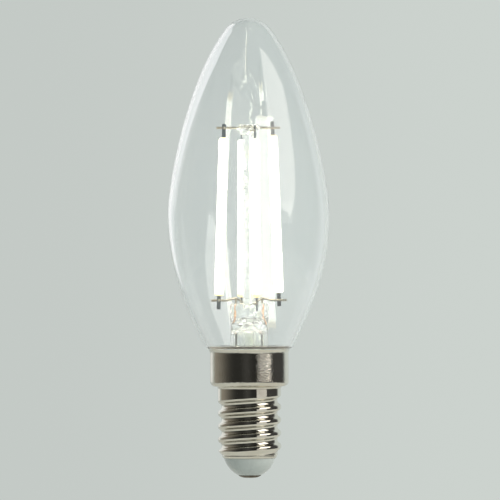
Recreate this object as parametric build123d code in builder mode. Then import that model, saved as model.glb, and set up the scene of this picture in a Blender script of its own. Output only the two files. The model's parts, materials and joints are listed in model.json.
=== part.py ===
from build123d import *
import os
from math import ceil, cos, hypot, radians, sin, sqrt, tan

# Candle bulb: a clear glass envelope on a small Edison screw cap, lit by four upright
# filament bars that hang round a glass post. All sizes are in millimetres. The axis is Z,
# and z = 0 is the flat face of the centre contact at the bottom.

os.makedirs("parts", exist_ok=True)

# Screw cap
THREAD_DIAMETER = 13.7
THREAD_PITCH = 2.822
THREAD_DEPTH = 0.8
THREAD_CREST_TRIM = 0.02
THREAD_END_ANGLE = 40.0
THREAD_END_DROP = 2.65
THREADED_LENGTH = 15.5
CAP_WALL = 0.3
CAP_EDGE_DIAMETER = 11.9
CAP_EDGE_RADIUS = 0.6
CAP_EDGE_HOLE = 10.0
CAP_LEAD_IN = 0.1
LEAD_IN_ANGLE = 45.0
SKIRT_DIAMETER = 17.0
SKIRT_LENGTH = 8.05
SKIRT_CORNER_SHARE = 0.68
BAND_CORNER_SHARE = 0.3
RIM_FLARE = 0.3
RIM_FLARE_HEIGHT = 0.6
RIM_FLARE_BEND = 0.8

# Insulator and centre contact
INSULATOR_HEIGHT = 3.65
INSULATOR_DIAMETER = 11.0
INSULATOR_DOME_RADIUS = 5.8
INSULATOR_SPIGOT = 2.0
INSULATOR_FLOOR = 1.8
INSULATOR_CLEARANCE = 0.05
CUP_CORNER = 0.8
CUP_CLEARANCE = 0.15
CONTACT_DIAMETER = 4.8
CONTACT_FACE_DIAMETER = 1.6
CONTACT_HEIGHT = 0.55
CONTACT_RIM = 0.1
RIVET_SHANK_DIAMETER = 1.6
RIVET_HEAD_DIAMETER = 2.8
RIVET_HEAD_HEIGHT = 0.5

# Glass envelope
GLASS_DIAMETER = 35.0
GLASS_HEIGHT = 71.65
GLASS_WALL = 0.7
WALL_STEPS = 5
BELLY_HEIGHT = 29.25
BELLY_REACH_UP = 6.6
BELLY_REACH_DOWN = 12.1
NOSE_RADIUS = 6.0
NOSE_ANGLE = 37.5
NOSE_REACH = 13.9
FOOT_SLOPE_ANGLE = 26.3
FOOT_REACH = 9.5
FOOT_RADIUS = 1.0
FOOT_OVERHANG = 0.2
NECK_LENGTH = 5.9
NECK_FILLET = 0.6
REST_CLEARANCE = 0.1

# Glass stem, exhaust tube and centre post
STEM_DIAMETER = 8.1
STEM_WALL = 0.8
STEM_HOLLOW_HEIGHT = 4.85
STEM_HOLLOW_CROWN = 1.6
FLARE_LENGTH = 4.2
FLARE_SEAL = 1.2
PRESS_SHOULDER = 0.6
PRESS_BLEND = 1.4
PRESS_HEIGHT = 5.2
PRESS_WIDTH = 8.4
PRESS_DEPTH = 3.8
PRESS_TOP_RADIUS = 0.8
EXHAUST_DIAMETER = 3.0
EXHAUST_BORE = 1.7
EXHAUST_HOLE_HEIGHT = 2.5
EXHAUST_RING_DIAMETER = 3.4
EXHAUST_RING_HEIGHT = 0.3
EXHAUST_TIP_CLEARANCE = 0.45
EXHAUST_TIP_CLOSURE = 2.0
POST_DIAMETER = 2.6
POST_SOCKET = 1.0
BUTTON_DIAMETER = 5.3
BUTTON_THICKNESS = 2.2

# Wires
WIRE_DIAMETER = 0.5
WIRE_BEND = 0.9
WIRE_CROSSING_CLEARANCE = 0.15
WIRE_END_GAP = 0.05
LEAD_SPACING = 5.7
LEAD_RISE = 1.1
SEAL_LENGTH = 4.2
SEAL_TOP_DEPTH = 0.4
BRIDGE_DROP = 0.5
BRIDGE_STRAIGHT = 1.7
WIRE_OVERRUN = 1.6

# Filaments
FILAMENT_LENGTH = 34.0
FILAMENT_WIDTH = 1.95
FILAMENT_DEPTH = 1.65
FILAMENT_EDGE_RADIUS = 0.7
FILAMENT_END_RADIUS = 0.5
FILAMENT_TOP_CIRCLE = 10.8
FILAMENT_BOTTOM_CIRCLE = 13.4
FILAMENT_TURN_ANGLE = 11.0
TAB_WIDTH = 0.8
TAB_THICKNESS = 0.25
TAB_GRIP = 1.5
TAB_TOP_GAP = 1.87
TAB_BOTTOM_GAP = 1.3
TAB_TOP_OVERRUN = 1.1
TAB_BOTTOM_OVERRUN = 1.6
FILAMENT_SLIP = 0.3

# Driver inside the cap
BOARD_THICKNESS = 1.0
BOARD_OFFSET = 2.1
BOARD_CLEARANCE = 0.2
BOARD_MARGIN = 1.7
CAPACITOR_DIAMETER = 6.3
CAPACITOR_LENGTH = 10.5
CAPACITOR_GAP = 0.1
CAPACITOR_BEVEL = 0.4
CAPACITOR_LEAD_SPACING = 2.5
CAPACITOR_LEAD_RISE = 1.2
RECTIFIER_WIDTH = 4.7
RECTIFIER_HEIGHT = 3.9
RECTIFIER_THICKNESS = 1.5
CHIP_WIDTH = 3.9
CHIP_HEIGHT = 4.9
CHIP_THICKNESS = 1.5
SENSE_WIDTH = 2.0
SENSE_HEIGHT = 1.2
SENSE_THICKNESS = 0.6
COMPONENT_SPACING = 0.8
COMPONENT_BEVEL = 0.2
FUSE_DIAMETER = 2.0
FUSE_LENGTH = 5.0
FUSE_BEVEL = 0.3
FUSE_LEAD_BEND = 0.7
FEED_WIRE_LAP = 2.4
LEAD_LAP = 2.6
LEAD_SLANT = 2.4
NEUTRAL_WIRE_LAP = 3.0
NEUTRAL_WIRE_DROP = 1.3

# Cement
CEMENT_THICKNESS = 0.8

# Heights up the axis, each stacked on the one below it
cap_edge = CONTACT_HEIGHT + INSULATOR_HEIGHT
cup_floor = CONTACT_HEIGHT + INSULATOR_FLOOR
cup_top = cap_edge + INSULATOR_SPIGOT
shoulder = cap_edge + THREADED_LENGTH
rim = shoulder + SKIRT_LENGTH
flare_start = rim - RIM_FLARE_HEIGHT
neck_bottom = rim - NECK_LENGTH
glass_rest = rim + REST_CLEARANCE
belly = rim + BELLY_HEIGHT
tip = rim + GLASS_HEIGHT
hollow_top = rim + STEM_HOLLOW_HEIGHT
press_top = hollow_top + PRESS_HEIGHT
lead_wire_level = press_top + LEAD_RISE
bridge_level = lead_wire_level - BRIDGE_DROP
wire_step = WIRE_DIAMETER + WIRE_CROSSING_CLEARANCE
capacitor_top = cup_top + CAPACITOR_LENGTH
capacitor_lead_level = capacitor_top + CAPACITOR_LEAD_RISE
exhaust_tip = capacitor_lead_level + WIRE_DIAMETER / 2 + EXHAUST_TIP_CLEARANCE
board_top = capacitor_lead_level + BOARD_MARGIN

# Radii shared by pieces that meet
wire_radius = WIRE_DIAMETER / 2
crest_radius = THREAD_DIAMETER / 2
root_radius = crest_radius - THREAD_DEPTH
cap_bore_radius = root_radius - CAP_WALL
band_bore_radius = crest_radius - CAP_WALL
skirt_radius = SKIRT_DIAMETER / 2
skirt_ledge = skirt_radius - crest_radius
skirt_corner = SKIRT_CORNER_SHARE * skirt_ledge
band_corner = BAND_CORNER_SHARE * skirt_ledge
neck_radius = skirt_radius - CAP_WALL - CEMENT_THICKNESS
neck_bore_radius = neck_radius - GLASS_WALL
stem_radius = STEM_DIAMETER / 2
lead_x = LEAD_SPACING / 2
edge_hole_radius = CAP_EDGE_HOLE / 2
edge_radius = CAP_EDGE_DIAMETER / 2
spigot_radius = min(edge_radius - CAP_EDGE_RADIUS, cap_bore_radius) - INSULATOR_CLEARANCE
shank_radius = RIVET_SHANK_DIAMETER / 2


def save(piece, name):
    """Label a finished piece and write it to its own file."""
    piece.part.label = name
    export_step(piece.part, f"parts/{name}.step")


def round_wire(points, bend=WIRE_BEND):
    """Make a round wire along straight runs that are joined by bends."""
    with BuildPart() as wire:
        with BuildLine() as route:
            FilletPolyline(*points, radius=bend)
        with BuildSketch(Plane(route.line ^ 0)):
            Circle(wire_radius)
        sweep()
    return wire


def straight_wire(start, end):
    """Make a straight round wire between two points."""
    axis = Vector(end) - Vector(start)
    with BuildPart() as wire:
        with BuildSketch(Plane(origin=start, z_dir=axis)):
            Circle(wire_radius)
        extrude(amount=axis.length)
    return wire


# Cap shell: one drawn cup with a rolled thread, so its inside follows its outside one wall in

end_direction = Vector(cos(radians(THREAD_END_ANGLE)), sin(radians(THREAD_END_ANGLE)))
groove_end = shoulder - THREAD_END_DROP
groove_turns = ceil((groove_end - cap_edge) / THREAD_PITCH)
groove_start = groove_end - groove_turns * THREAD_PITCH


def groove_section(inset, height, halves):
    """Draw the thread groove across its width at its end angle: its lower half, or both halves.

    Crest and root are arcs of one radius that touch halfway between their centres.
    """
    depth = THREAD_DEPTH + THREAD_CREST_TRIM
    arc_radius = ((THREAD_PITCH / 2) ** 2 + depth**2) / (4 * depth)
    crest = arc_radius - inset
    crest_centre = Vector(crest_radius + THREAD_CREST_TRIM - arc_radius, -THREAD_PITCH / 2)
    root_centre = Vector(root_radius + arc_radius, 0)
    land = sqrt(crest**2 - (crest - THREAD_CREST_TRIM) ** 2)
    crest_edge = (crest_radius - inset, land - THREAD_PITCH / 2)
    crest_end = crest_centre + (root_centre - crest_centre).normalized() * crest
    root_bottom = (root_radius - inset, 0)
    clear_radius = crest_radius + THREAD_DEPTH
    across = Plane((0, 0, height), x_dir=end_direction, z_dir=end_direction.cross(Vector(0, 0, 1)))
    with BuildSketch(across) as section:
        with BuildLine():
            RadiusArc(crest_edge, crest_end, -crest)
            RadiusArc(crest_end, root_bottom, arc_radius + inset)
            Polyline(
                root_bottom,
                (clear_radius, 0),
                (clear_radius, crest_edge[1]),
                crest_edge,
            )
        make_face()
        if halves == 2:
            mirror(about=Plane.XZ)
    return section


def cap_solid(inset, top):
    """Fill the cap's outside, set in by a wall, with the thread groove cut into it."""
    lead_in = cap_edge + CAP_EDGE_RADIUS + CAP_LEAD_IN + inset * tan(radians(LEAD_IN_ANGLE / 2))
    lead_in_rise = (crest_radius - edge_radius) / tan(radians(LEAD_IN_ANGLE))
    flare_reach = RIM_FLARE * (top - flare_start) / RIM_FLARE_HEIGHT
    with BuildPart() as solid:
        with BuildSketch(Plane.XZ):
            with BuildLine():
                FilletPolyline(
                    (0, cap_edge + inset),
                    (edge_radius - inset, cap_edge + inset),
                    (edge_radius - inset, lead_in),
                    (crest_radius - inset, lead_in + lead_in_rise),
                    (crest_radius - inset, shoulder + inset),
                    (skirt_radius - inset, shoulder + inset),
                    (skirt_radius - inset, flare_start),
                    (skirt_radius - inset + flare_reach, top),
                    (0, top),
                    radius=[
                        0,
                        CAP_EDGE_RADIUS - inset,
                        0,
                        0,
                        band_corner + inset,
                        skirt_corner - inset,
                        RIM_FLARE_BEND + inset,
                        0,
                        0,
                    ],
                    close=True,
                )
            make_face()
        revolve(axis=Axis.Z)

        with BuildLine() as path:
            Helix(THREAD_PITCH, groove_turns * THREAD_PITCH, root_radius, center=(0, 0, groove_start))
        groove = groove_section(inset, groove_start, halves=2)
        groove_path = path.line.rotate(Axis.Z, THREAD_END_ANGLE)
        sweep(groove.sketch, path=groove_path, is_frenet=True, mode=Mode.SUBTRACT)

        # the groove runs out in a round end
        run_out = groove_section(inset, groove_end, halves=1)
        end_axis = Axis((0, 0, groove_end), end_direction)
        revolve(run_out.sketch, axis=end_axis, revolution_arc=180, mode=Mode.SUBTRACT)
    return solid


cap_outside = cap_solid(0, rim)
cap_inside = cap_solid(CAP_WALL, rim + SKIRT_LENGTH)

with BuildPart() as cap_shell:
    add(cap_outside.part)
    add(cap_inside.part, mode=Mode.SUBTRACT)
    with BuildSketch(Plane.XY.offset(cap_edge)):
        Circle(edge_hole_radius)
    extrude(amount=CAP_WALL, mode=Mode.SUBTRACT)
save(cap_shell, "cap_shell")


# Centre contact: a riveted button whose flat face is the bottom of the bulb

with BuildPart() as centre_contact:
    with BuildSketch(Plane.XZ):
        with BuildLine():
            Polyline(
                (CONTACT_DIAMETER / 2, CONTACT_HEIGHT - CONTACT_RIM),
                (CONTACT_DIAMETER / 2, CONTACT_HEIGHT),
                (shank_radius, CONTACT_HEIGHT),
                (shank_radius, cup_floor),
                (RIVET_HEAD_DIAMETER / 2, cup_floor),
                (RIVET_HEAD_DIAMETER / 2, cup_floor + RIVET_HEAD_HEIGHT),
                (0, cup_floor + RIVET_HEAD_HEIGHT),
                (0, 0),
                (CONTACT_FACE_DIAMETER / 2, 0),
            )
            TangentArc(
                (CONTACT_FACE_DIAMETER / 2, 0),
                (CONTACT_DIAMETER / 2, CONTACT_HEIGHT - CONTACT_RIM),
                tangent=(1, 0),
            )
        make_face()
    revolve(axis=Axis.Z)
save(centre_contact, "centre_contact")


# Fuse in the cup of the insulator: its feed wire sets how wide the cup has to be

fuse_level = cup_floor + RIVET_HEAD_HEIGHT + WIRE_DIAMETER + FUSE_DIAMETER / 2
fuse_lead_x = FUSE_LENGTH / 2 + FUSE_LEAD_BEND
board_face = BOARD_OFFSET
wire_on_board = board_face - wire_radius
cup_radius = hypot(fuse_lead_x, wire_on_board) + wire_radius + CUP_CLEARANCE

with BuildPart() as fuse:
    with BuildSketch(Plane.YZ.offset(-FUSE_LENGTH / 2)):
        with Locations((0, fuse_level)):
            Circle(FUSE_DIAMETER / 2)
    extrude(amount=FUSE_LENGTH)
    chamfer(fuse.edges().filter_by(GeomType.CIRCLE), FUSE_BEVEL)
save(fuse, "fuse")

live_wire_level = cup_floor + RIVET_HEAD_HEIGHT + wire_radius
live_wire = round_wire(
    [
        (-FUSE_LENGTH / 2, 0, fuse_level),
        (-fuse_lead_x, 0, fuse_level),
        (-fuse_lead_x, 0, live_wire_level),
        (0, 0, live_wire_level),
    ],
    bend=FUSE_LEAD_BEND - wire_radius,
)
save(live_wire, "live_wire")

feed_wire = round_wire(
    [
        (FUSE_LENGTH / 2, 0, fuse_level),
        (fuse_lead_x, 0, fuse_level),
        (fuse_lead_x, wire_on_board, cup_top - wire_radius),
        (fuse_lead_x, wire_on_board, cup_top + FEED_WIRE_LAP),
    ],
    bend=FUSE_LEAD_BEND - wire_radius,
)
save(feed_wire, "feed_wire")


# Insulator: a domed cup that is moulded round the turned-in edge of the shell

with BuildPart() as cap_insulator:
    with BuildSketch(Plane.XZ):
        with BuildLine():
            RadiusArc(
                (CONTACT_DIAMETER / 2, CONTACT_HEIGHT),
                (INSULATOR_DIAMETER / 2, cap_edge),
                -INSULATOR_DOME_RADIUS,
            )
            Polyline(
                (INSULATOR_DIAMETER / 2, cap_edge),
                (edge_hole_radius, cap_edge),
                (edge_hole_radius, cap_edge + CAP_WALL),
                (spigot_radius, cap_edge + CAP_WALL),
                (spigot_radius, cup_top),
                (cup_radius, cup_top),
            )
            Polyline(
                (cup_radius, cup_top),
                (cup_radius, cup_floor + CUP_CORNER),
                (cup_radius - CUP_CORNER, cup_floor),
                (shank_radius, cup_floor),
            )
            Polyline(
                (shank_radius, cup_floor),
                (shank_radius, CONTACT_HEIGHT),
                (CONTACT_DIAMETER / 2, CONTACT_HEIGHT),
            )
        make_face()
    revolve(axis=Axis.Z)
save(cap_insulator, "cap_insulator")


# Driver board and what is soldered to it

board_half_width = sqrt((cap_bore_radius - BOARD_CLEARANCE) ** 2 - (board_face + BOARD_THICKNESS) ** 2)
board_back = board_face + BOARD_THICKNESS

with BuildPart() as driver_board:
    with BuildSketch(Plane.XZ.offset(-board_face)):
        with Locations((0, (cup_top + board_top) / 2)):
            Rectangle(2 * board_half_width, board_top - cup_top)
    extrude(amount=-BOARD_THICKNESS)
save(driver_board, "driver_board")


def board_component(width, height, thickness, bottom):
    """Make a bevelled flat component on the back of the driver board."""
    with BuildPart() as component:
        with BuildSketch(Plane.XZ.offset(-board_back)):
            with Locations((0, bottom + height / 2)):
                Rectangle(width, height)
        extrude(amount=-thickness)
        chamfer(component.faces().sort_by(Axis.Y)[-1].edges(), COMPONENT_BEVEL)
    return component


chip_bottom = cup_top + COMPONENT_SPACING
sense_bottom = chip_bottom + CHIP_HEIGHT + COMPONENT_SPACING
rectifier_bottom = sense_bottom + SENSE_HEIGHT + COMPONENT_SPACING

save(board_component(CHIP_WIDTH, CHIP_HEIGHT, CHIP_THICKNESS, chip_bottom), "driver_chip")
save(board_component(SENSE_WIDTH, SENSE_HEIGHT, SENSE_THICKNESS, sense_bottom), "sense_resistor")
save(
    board_component(RECTIFIER_WIDTH, RECTIFIER_HEIGHT, RECTIFIER_THICKNESS, rectifier_bottom),
    "bridge_rectifier",
)

capacitor_y = board_face - CAPACITOR_GAP - CAPACITOR_DIAMETER / 2

with BuildPart() as smoothing_capacitor:
    with BuildSketch(Plane.XY.offset(cup_top)):
        with Locations((0, capacitor_y)):
            Circle(CAPACITOR_DIAMETER / 2)
    extrude(amount=CAPACITOR_LENGTH)
    chamfer(smoothing_capacitor.edges().filter_by(GeomType.CIRCLE), CAPACITOR_BEVEL)
save(smoothing_capacitor, "smoothing_capacitor")

for side, name in ((-1, "negative"), (1, "positive")):
    lead_place = side * CAPACITOR_LEAD_SPACING / 2
    capacitor_lead = round_wire(
        [
            (lead_place, capacitor_y, capacitor_top),
            (lead_place, capacitor_y, capacitor_lead_level),
            (lead_place, board_face, capacitor_lead_level),
        ],
        bend=CAPACITOR_LEAD_RISE - wire_radius,
    )
    save(capacitor_lead, f"capacitor_lead_{name}")

neutral_wire_y = board_back + wire_radius
neutral_wire_x = -board_half_width + BOARD_THICKNESS
neutral_level = shoulder - NEUTRAL_WIRE_DROP
neutral_reach = (band_bore_radius - WIRE_END_GAP) / hypot(neutral_wire_x, neutral_wire_y)
neutral_wire = round_wire(
    [
        (neutral_wire_x, neutral_wire_y, neutral_level - NEUTRAL_WIRE_LAP),
        (neutral_wire_x, neutral_wire_y, neutral_level),
        (neutral_wire_x * neutral_reach, neutral_wire_y * neutral_reach, neutral_level),
    ],
)
save(neutral_wire, "neutral_wire")


# Glass envelope: blown in one piece, with its inner wall set in from the outer curve

nose_turn = radians(NOSE_ANGLE)
foot_turn = radians(FOOT_SLOPE_ANGLE)
nose_end = Vector(NOSE_RADIUS * cos(nose_turn), tip - NOSE_RADIUS + NOSE_RADIUS * sin(nose_turn))
nose_fall = Vector(sin(nose_turn), -cos(nose_turn))
belly_edge = Vector(GLASS_DIAMETER / 2, belly)
foot_centre = Vector(skirt_radius + FOOT_OVERHANG, glass_rest + FOOT_RADIUS)
foot_end = foot_centre + Vector(cos(foot_turn), -sin(foot_turn)) * FOOT_RADIUS
foot_rise = Vector(sin(foot_turn), cos(foot_turn))


def wall_points(curve, inward_turn):
    """Find points one glass wall inside a curve, from its start to its end."""
    steps = [step / WALL_STEPS for step in range(WALL_STEPS + 1)]
    return [curve @ step + (curve % step).rotate(Axis.Z, inward_turn) * GLASS_WALL for step in steps]


with BuildPart() as glass_envelope:
    with BuildSketch(Plane.XZ):
        with BuildLine():
            flank = Bezier(
                belly_edge,
                belly_edge + Vector(0, BELLY_REACH_UP),
                nose_end + nose_fall * NOSE_REACH,
                nose_end,
            )
            CenterArc((0, tip - NOSE_RADIUS), NOSE_RADIUS, NOSE_ANGLE, 90 - NOSE_ANGLE)
            lower = Bezier(
                belly_edge,
                belly_edge - Vector(0, BELLY_REACH_DOWN),
                foot_end + foot_rise * FOOT_REACH,
                foot_end,
            )
            foot = JernArc(foot_end, lower % 1, FOOT_RADIUS, FOOT_SLOPE_ANGLE - 90)
            FilletPolyline(
                foot @ 1,
                (neck_radius, glass_rest),
                (neck_radius, neck_bottom),
                radius=NECK_FILLET,
            )
            Spline(wall_points(flank, 90), tangents=[flank % 0, flank % 1])
            CenterArc((0, tip - NOSE_RADIUS), NOSE_RADIUS - GLASS_WALL, NOSE_ANGLE, 90 - NOSE_ANGLE)
            Line((0, tip - GLASS_WALL), (0, tip))
            inner_lower = Spline(
                wall_points(lower, -90),
                tangents=[lower % 0, lower % 1],
            )
            inner_foot = JernArc(
                inner_lower @ 1, lower % 1, FOOT_RADIUS - GLASS_WALL, FOOT_SLOPE_ANGLE - 90
            )
            FilletPolyline(
                inner_foot @ 1,
                (neck_bore_radius, glass_rest + GLASS_WALL),
                (neck_bore_radius, neck_bottom),
                radius=NECK_FILLET + GLASS_WALL,
            )
            Line((neck_bore_radius, neck_bottom), (neck_radius, neck_bottom))
        make_face()
    revolve(axis=Axis.Z)
save(glass_envelope, "glass_envelope")


# Cement ring between the glass neck and the skirt

with BuildPart() as cap_cement:
    with BuildSketch(Plane.XZ):
        with BuildLine():
            cement_bottom = max(neck_bottom, shoulder + skirt_corner)
            cement_top = flare_start
            Polyline(
                (neck_radius, cement_bottom),
                (skirt_radius - CAP_WALL, cement_bottom),
                (skirt_radius - CAP_WALL, cement_top),
                (neck_radius, cement_top),
                close=True,
            )
        make_face()
    revolve(axis=Axis.Z)
save(cap_cement, "cap_cement")


# Glass stem: a flared tube, sealed into the neck and pinched flat round the lead wires

stem_bore_radius = stem_radius - STEM_WALL
flare_top = neck_bottom + FLARE_LENGTH
flare_seal_top = neck_bottom + FLARE_SEAL
press_start = hollow_top + PRESS_SHOULDER
press_flat = press_start + PRESS_BLEND
exhaust_hole_level = hollow_top + EXHAUST_HOLE_HEIGHT

with BuildPart() as glass_stem:
    with BuildSketch(Plane.XZ):
        with BuildLine():
            Line((neck_bore_radius, neck_bottom), (neck_bore_radius, flare_seal_top))
            Bezier(
                (neck_bore_radius, flare_seal_top),
                (stem_radius, flare_seal_top),
                (stem_radius, flare_top),
            )
            Polyline(
                (stem_radius, flare_top),
                (stem_radius, press_start),
                (0, press_start),
                (0, hollow_top),
            )
            Bezier(
                (0, hollow_top),
                (stem_bore_radius, hollow_top),
                (stem_bore_radius, hollow_top - STEM_HOLLOW_CROWN),
            )
            Line((stem_bore_radius, hollow_top - STEM_HOLLOW_CROWN), (stem_bore_radius, flare_top))
            Bezier(
                (stem_bore_radius, flare_top),
                (stem_bore_radius, flare_seal_top - STEM_WALL),
                (neck_bore_radius - STEM_WALL, neck_bottom),
            )
            Line((neck_bore_radius - STEM_WALL, neck_bottom), (neck_bore_radius, neck_bottom))
        make_face()
    revolve(axis=Axis.Z)

    # the pinched press
    with BuildSketch(Plane.XY.offset(press_start)):
        Circle(stem_radius)
    with BuildSketch(Plane.XY.offset(press_flat)):
        Ellipse(PRESS_WIDTH / 2, PRESS_DEPTH / 2)
    loft()
    with BuildSketch(Plane.XY.offset(press_flat)):
        Ellipse(PRESS_WIDTH / 2, PRESS_DEPTH / 2)
    extrude(amount=press_top - press_flat)
    fillet(glass_stem.faces().sort_by(Axis.Z)[-1].edges(), PRESS_TOP_RADIUS)

    # the exhaust hole, blown out through the front of the press, with its raised lip
    with BuildSketch(Plane.XZ):
        with Locations((0, exhaust_hole_level)):
            Circle(EXHAUST_RING_DIAMETER / 2)
    extrude(amount=PRESS_DEPTH / 2 + EXHAUST_RING_HEIGHT)
    with BuildSketch(Plane.XZ):
        with Locations((0, exhaust_hole_level)):
            Circle(EXHAUST_BORE / 2)
    extrude(amount=PRESS_DEPTH / 2 + EXHAUST_RING_HEIGHT, mode=Mode.SUBTRACT)
    with BuildSketch(Plane.XY.offset(hollow_top)):
        Circle(EXHAUST_BORE / 2)
    extrude(amount=EXHAUST_HOLE_HEIGHT, mode=Mode.SUBTRACT)

    # the seat of the exhaust tube, the lead holes and the socket of the post
    with BuildSketch(Plane.XY.offset(hollow_top)):
        Circle(EXHAUST_DIAMETER / 2)
    extrude(amount=-STEM_HOLLOW_CROWN, mode=Mode.SUBTRACT)
    with BuildSketch(Plane.XY.offset(neck_bottom)):
        with Locations((-lead_x, 0), (lead_x, 0)):
            Circle(wire_radius)
    extrude(amount=press_top - neck_bottom, mode=Mode.SUBTRACT)
    with BuildSketch(Plane.XY.offset(press_top)):
        Circle(POST_DIAMETER / 2)
    extrude(amount=-POST_SOCKET, mode=Mode.SUBTRACT)
save(glass_stem, "glass_stem")

with BuildPart() as exhaust_tube:
    with BuildSketch(Plane.XZ):
        with BuildLine():
            outer = EXHAUST_DIAMETER / 2
            bore = EXHAUST_BORE / 2
            closure = exhaust_tip + EXHAUST_TIP_CLOSURE
            Bezier((0, exhaust_tip), (outer, exhaust_tip), (outer, closure))
            Polyline((outer, closure), (outer, hollow_top), (bore, hollow_top), (bore, closure))
            Bezier((bore, closure), (bore, closure - outer / 2), (0, closure - outer / 2))
            Line((0, closure - outer / 2), (0, exhaust_tip))
        make_face()
    revolve(axis=Axis.Z)
save(exhaust_tube, "exhaust_tube")


# Filaments: bars that lean outward from the top wires to the bridge wires

top_circle_radius = FILAMENT_TOP_CIRCLE / 2
bottom_circle_radius = FILAMENT_BOTTOM_CIRCLE / 2
hanging_span = FILAMENT_LENGTH + TAB_TOP_GAP + TAB_BOTTOM_GAP
hanging_rise = sqrt(hanging_span**2 - (bottom_circle_radius - top_circle_radius) ** 2)
top_level = bridge_level + hanging_rise
tab_offset = wire_radius + TAB_THICKNESS / 2


def outward(quarter):
    """Give the direction from the axis to a filament, by its quarter turn from the right."""
    turn = radians(FILAMENT_TURN_ANGLE + 90 * quarter)
    return Vector(cos(turn), sin(turn), 0)


def wire_drop(quarter):
    """Give how far a filament's wires lie below those of its neighbours, which they cross."""
    return wire_step * (quarter % 2)


# The four filaments by their quarter turn, each with how far it has slipped up its wires
FILAMENTS = {
    "right": (0, FILAMENT_SLIP),
    "back": (1, 0.0),
    "left": (2, -FILAMENT_SLIP),
    "front": (3, 0.0),
}

for name, (quarter, slip) in FILAMENTS.items():
    aside = outward(quarter + 1)
    foot_point = outward(quarter) * bottom_circle_radius + aside * tab_offset
    foot_point += Vector(0, 0, bridge_level - wire_drop(quarter))
    head_point = outward(quarter) * top_circle_radius + aside * tab_offset
    head_point += Vector(0, 0, top_level - wire_drop(quarter))
    along = (head_point - foot_point).normalized()
    bar_plane = Plane(foot_point + along * (TAB_BOTTOM_GAP + slip), x_dir=aside, z_dir=along)

    with BuildPart() as bottom_tab:
        with BuildSketch(bar_plane.offset(-TAB_BOTTOM_GAP - TAB_BOTTOM_OVERRUN)):
            Rectangle(TAB_THICKNESS, TAB_WIDTH)
        extrude(amount=TAB_BOTTOM_OVERRUN + TAB_BOTTOM_GAP + TAB_GRIP)
    save(bottom_tab, f"filament_{name}_bottom_tab")

    with BuildPart() as top_tab:
        with BuildSketch(bar_plane.offset(FILAMENT_LENGTH - TAB_GRIP)):
            Rectangle(TAB_THICKNESS, TAB_WIDTH)
        extrude(amount=TAB_GRIP + TAB_TOP_GAP + TAB_TOP_OVERRUN)
    save(top_tab, f"filament_{name}_top_tab")

    with BuildPart() as filament:
        with BuildSketch(bar_plane):
            RectangleRounded(FILAMENT_DEPTH, FILAMENT_WIDTH, FILAMENT_EDGE_RADIUS)
        extrude(amount=FILAMENT_LENGTH)
        bar_ends = filament.faces().sort_by(Axis((0, 0, 0), along))
        fillet(bar_ends[0].edges() + bar_ends[-1].edges(), FILAMENT_END_RADIUS)
        add(bottom_tab.part, mode=Mode.SUBTRACT)
        add(top_tab.part, mode=Mode.SUBTRACT)
    save(filament, f"filament_{name}")


# Wires at the top: two straight wires that cross inside the button of the post

top_wires = []
for quarter, name in ((0, "upper"), (1, "lower")):
    level = Vector(0, 0, top_level - wire_drop(quarter))
    reach = outward(quarter) * (top_circle_radius + WIRE_OVERRUN)
    top_wire = straight_wire(level - reach, level + reach)
    top_wires.append(top_wire.part)
    save(top_wire, f"top_wire_{name}")

with BuildPart() as centre_post:
    with BuildSketch(Plane.XZ):
        with BuildLine():
            post_radius = POST_DIAMETER / 2
            button_level = top_level - wire_step / 2
            button_bottom = button_level - BUTTON_THICKNESS / 2
            button_top = button_level + BUTTON_THICKNESS / 2
            Polyline(
                (0, button_top),
                (0, press_top - POST_SOCKET),
                (post_radius, press_top - POST_SOCKET),
                (post_radius, button_bottom),
            )
            ThreePointArc(
                (post_radius, button_bottom),
                (BUTTON_DIAMETER / 2, button_level),
                (post_radius, button_top),
            )
            Line((post_radius, button_top), (0, button_top))
        make_face()
    revolve(axis=Axis.Z)
    add(top_wires, mode=Mode.SUBTRACT)
save(centre_post, "centre_post")


# Lead wires: outer lead, glass seal and inner lead in line, under a bridge wire to two filaments

seal_top = press_top - SEAL_TOP_DEPTH
seal_bottom = seal_top - SEAL_LENGTH

for name, side, beside, behind in (("left", -1, 2, 1), ("right", 1, 0, 3)):
    x = side * lead_x
    outer_lead = round_wire(
        [
            (x, 0, seal_bottom),
            (x, 0, board_top + LEAD_SLANT),
            (x, wire_on_board, board_top),
            (x, wire_on_board, board_top - LEAD_LAP),
        ]
    )
    save(outer_lead, f"outer_lead_{name}")
    save(straight_wire((x, 0, seal_bottom), (x, 0, seal_top)), f"lead_seal_{name}")

    route = []
    for quarter in (beside, behind):
        level = Vector(0, 0, bridge_level - wire_drop(quarter))
        route.append(level + outward(quarter) * (bottom_circle_radius + WIRE_OVERRUN))
        route.append(level + outward(quarter) * (bottom_circle_radius - BRIDGE_STRAIGHT))
    bridge_wire = round_wire([route[0], route[1], Vector(x, 0, lead_wire_level), route[3], route[2]])
    save(bridge_wire, f"bridge_wire_{name}")

    # the inner lead is welded to the bridge wire, so its end takes the shape of that wire
    inner_lead = straight_wire((x, 0, seal_top), (x, 0, lead_wire_level - wire_radius))
    with inner_lead:
        add(bridge_wire.part, mode=Mode.SUBTRACT)
    save(inner_lead, f"inner_lead_{name}")
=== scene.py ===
"""Looks of a lit candle bulb: clear glass, glowing filament bars and a plated screw cap.

All sizes are in metres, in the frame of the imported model: Z runs up the bulb's axis from the face
of its centre contact, X is to the right and Y is away from the viewer.
"""

import json
import logging
from dataclasses import dataclass, field
from enum import Enum
from math import atan, cos, pi, radians, sin, tan

import bpy
import numpy as np
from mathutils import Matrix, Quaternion, Vector

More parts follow.
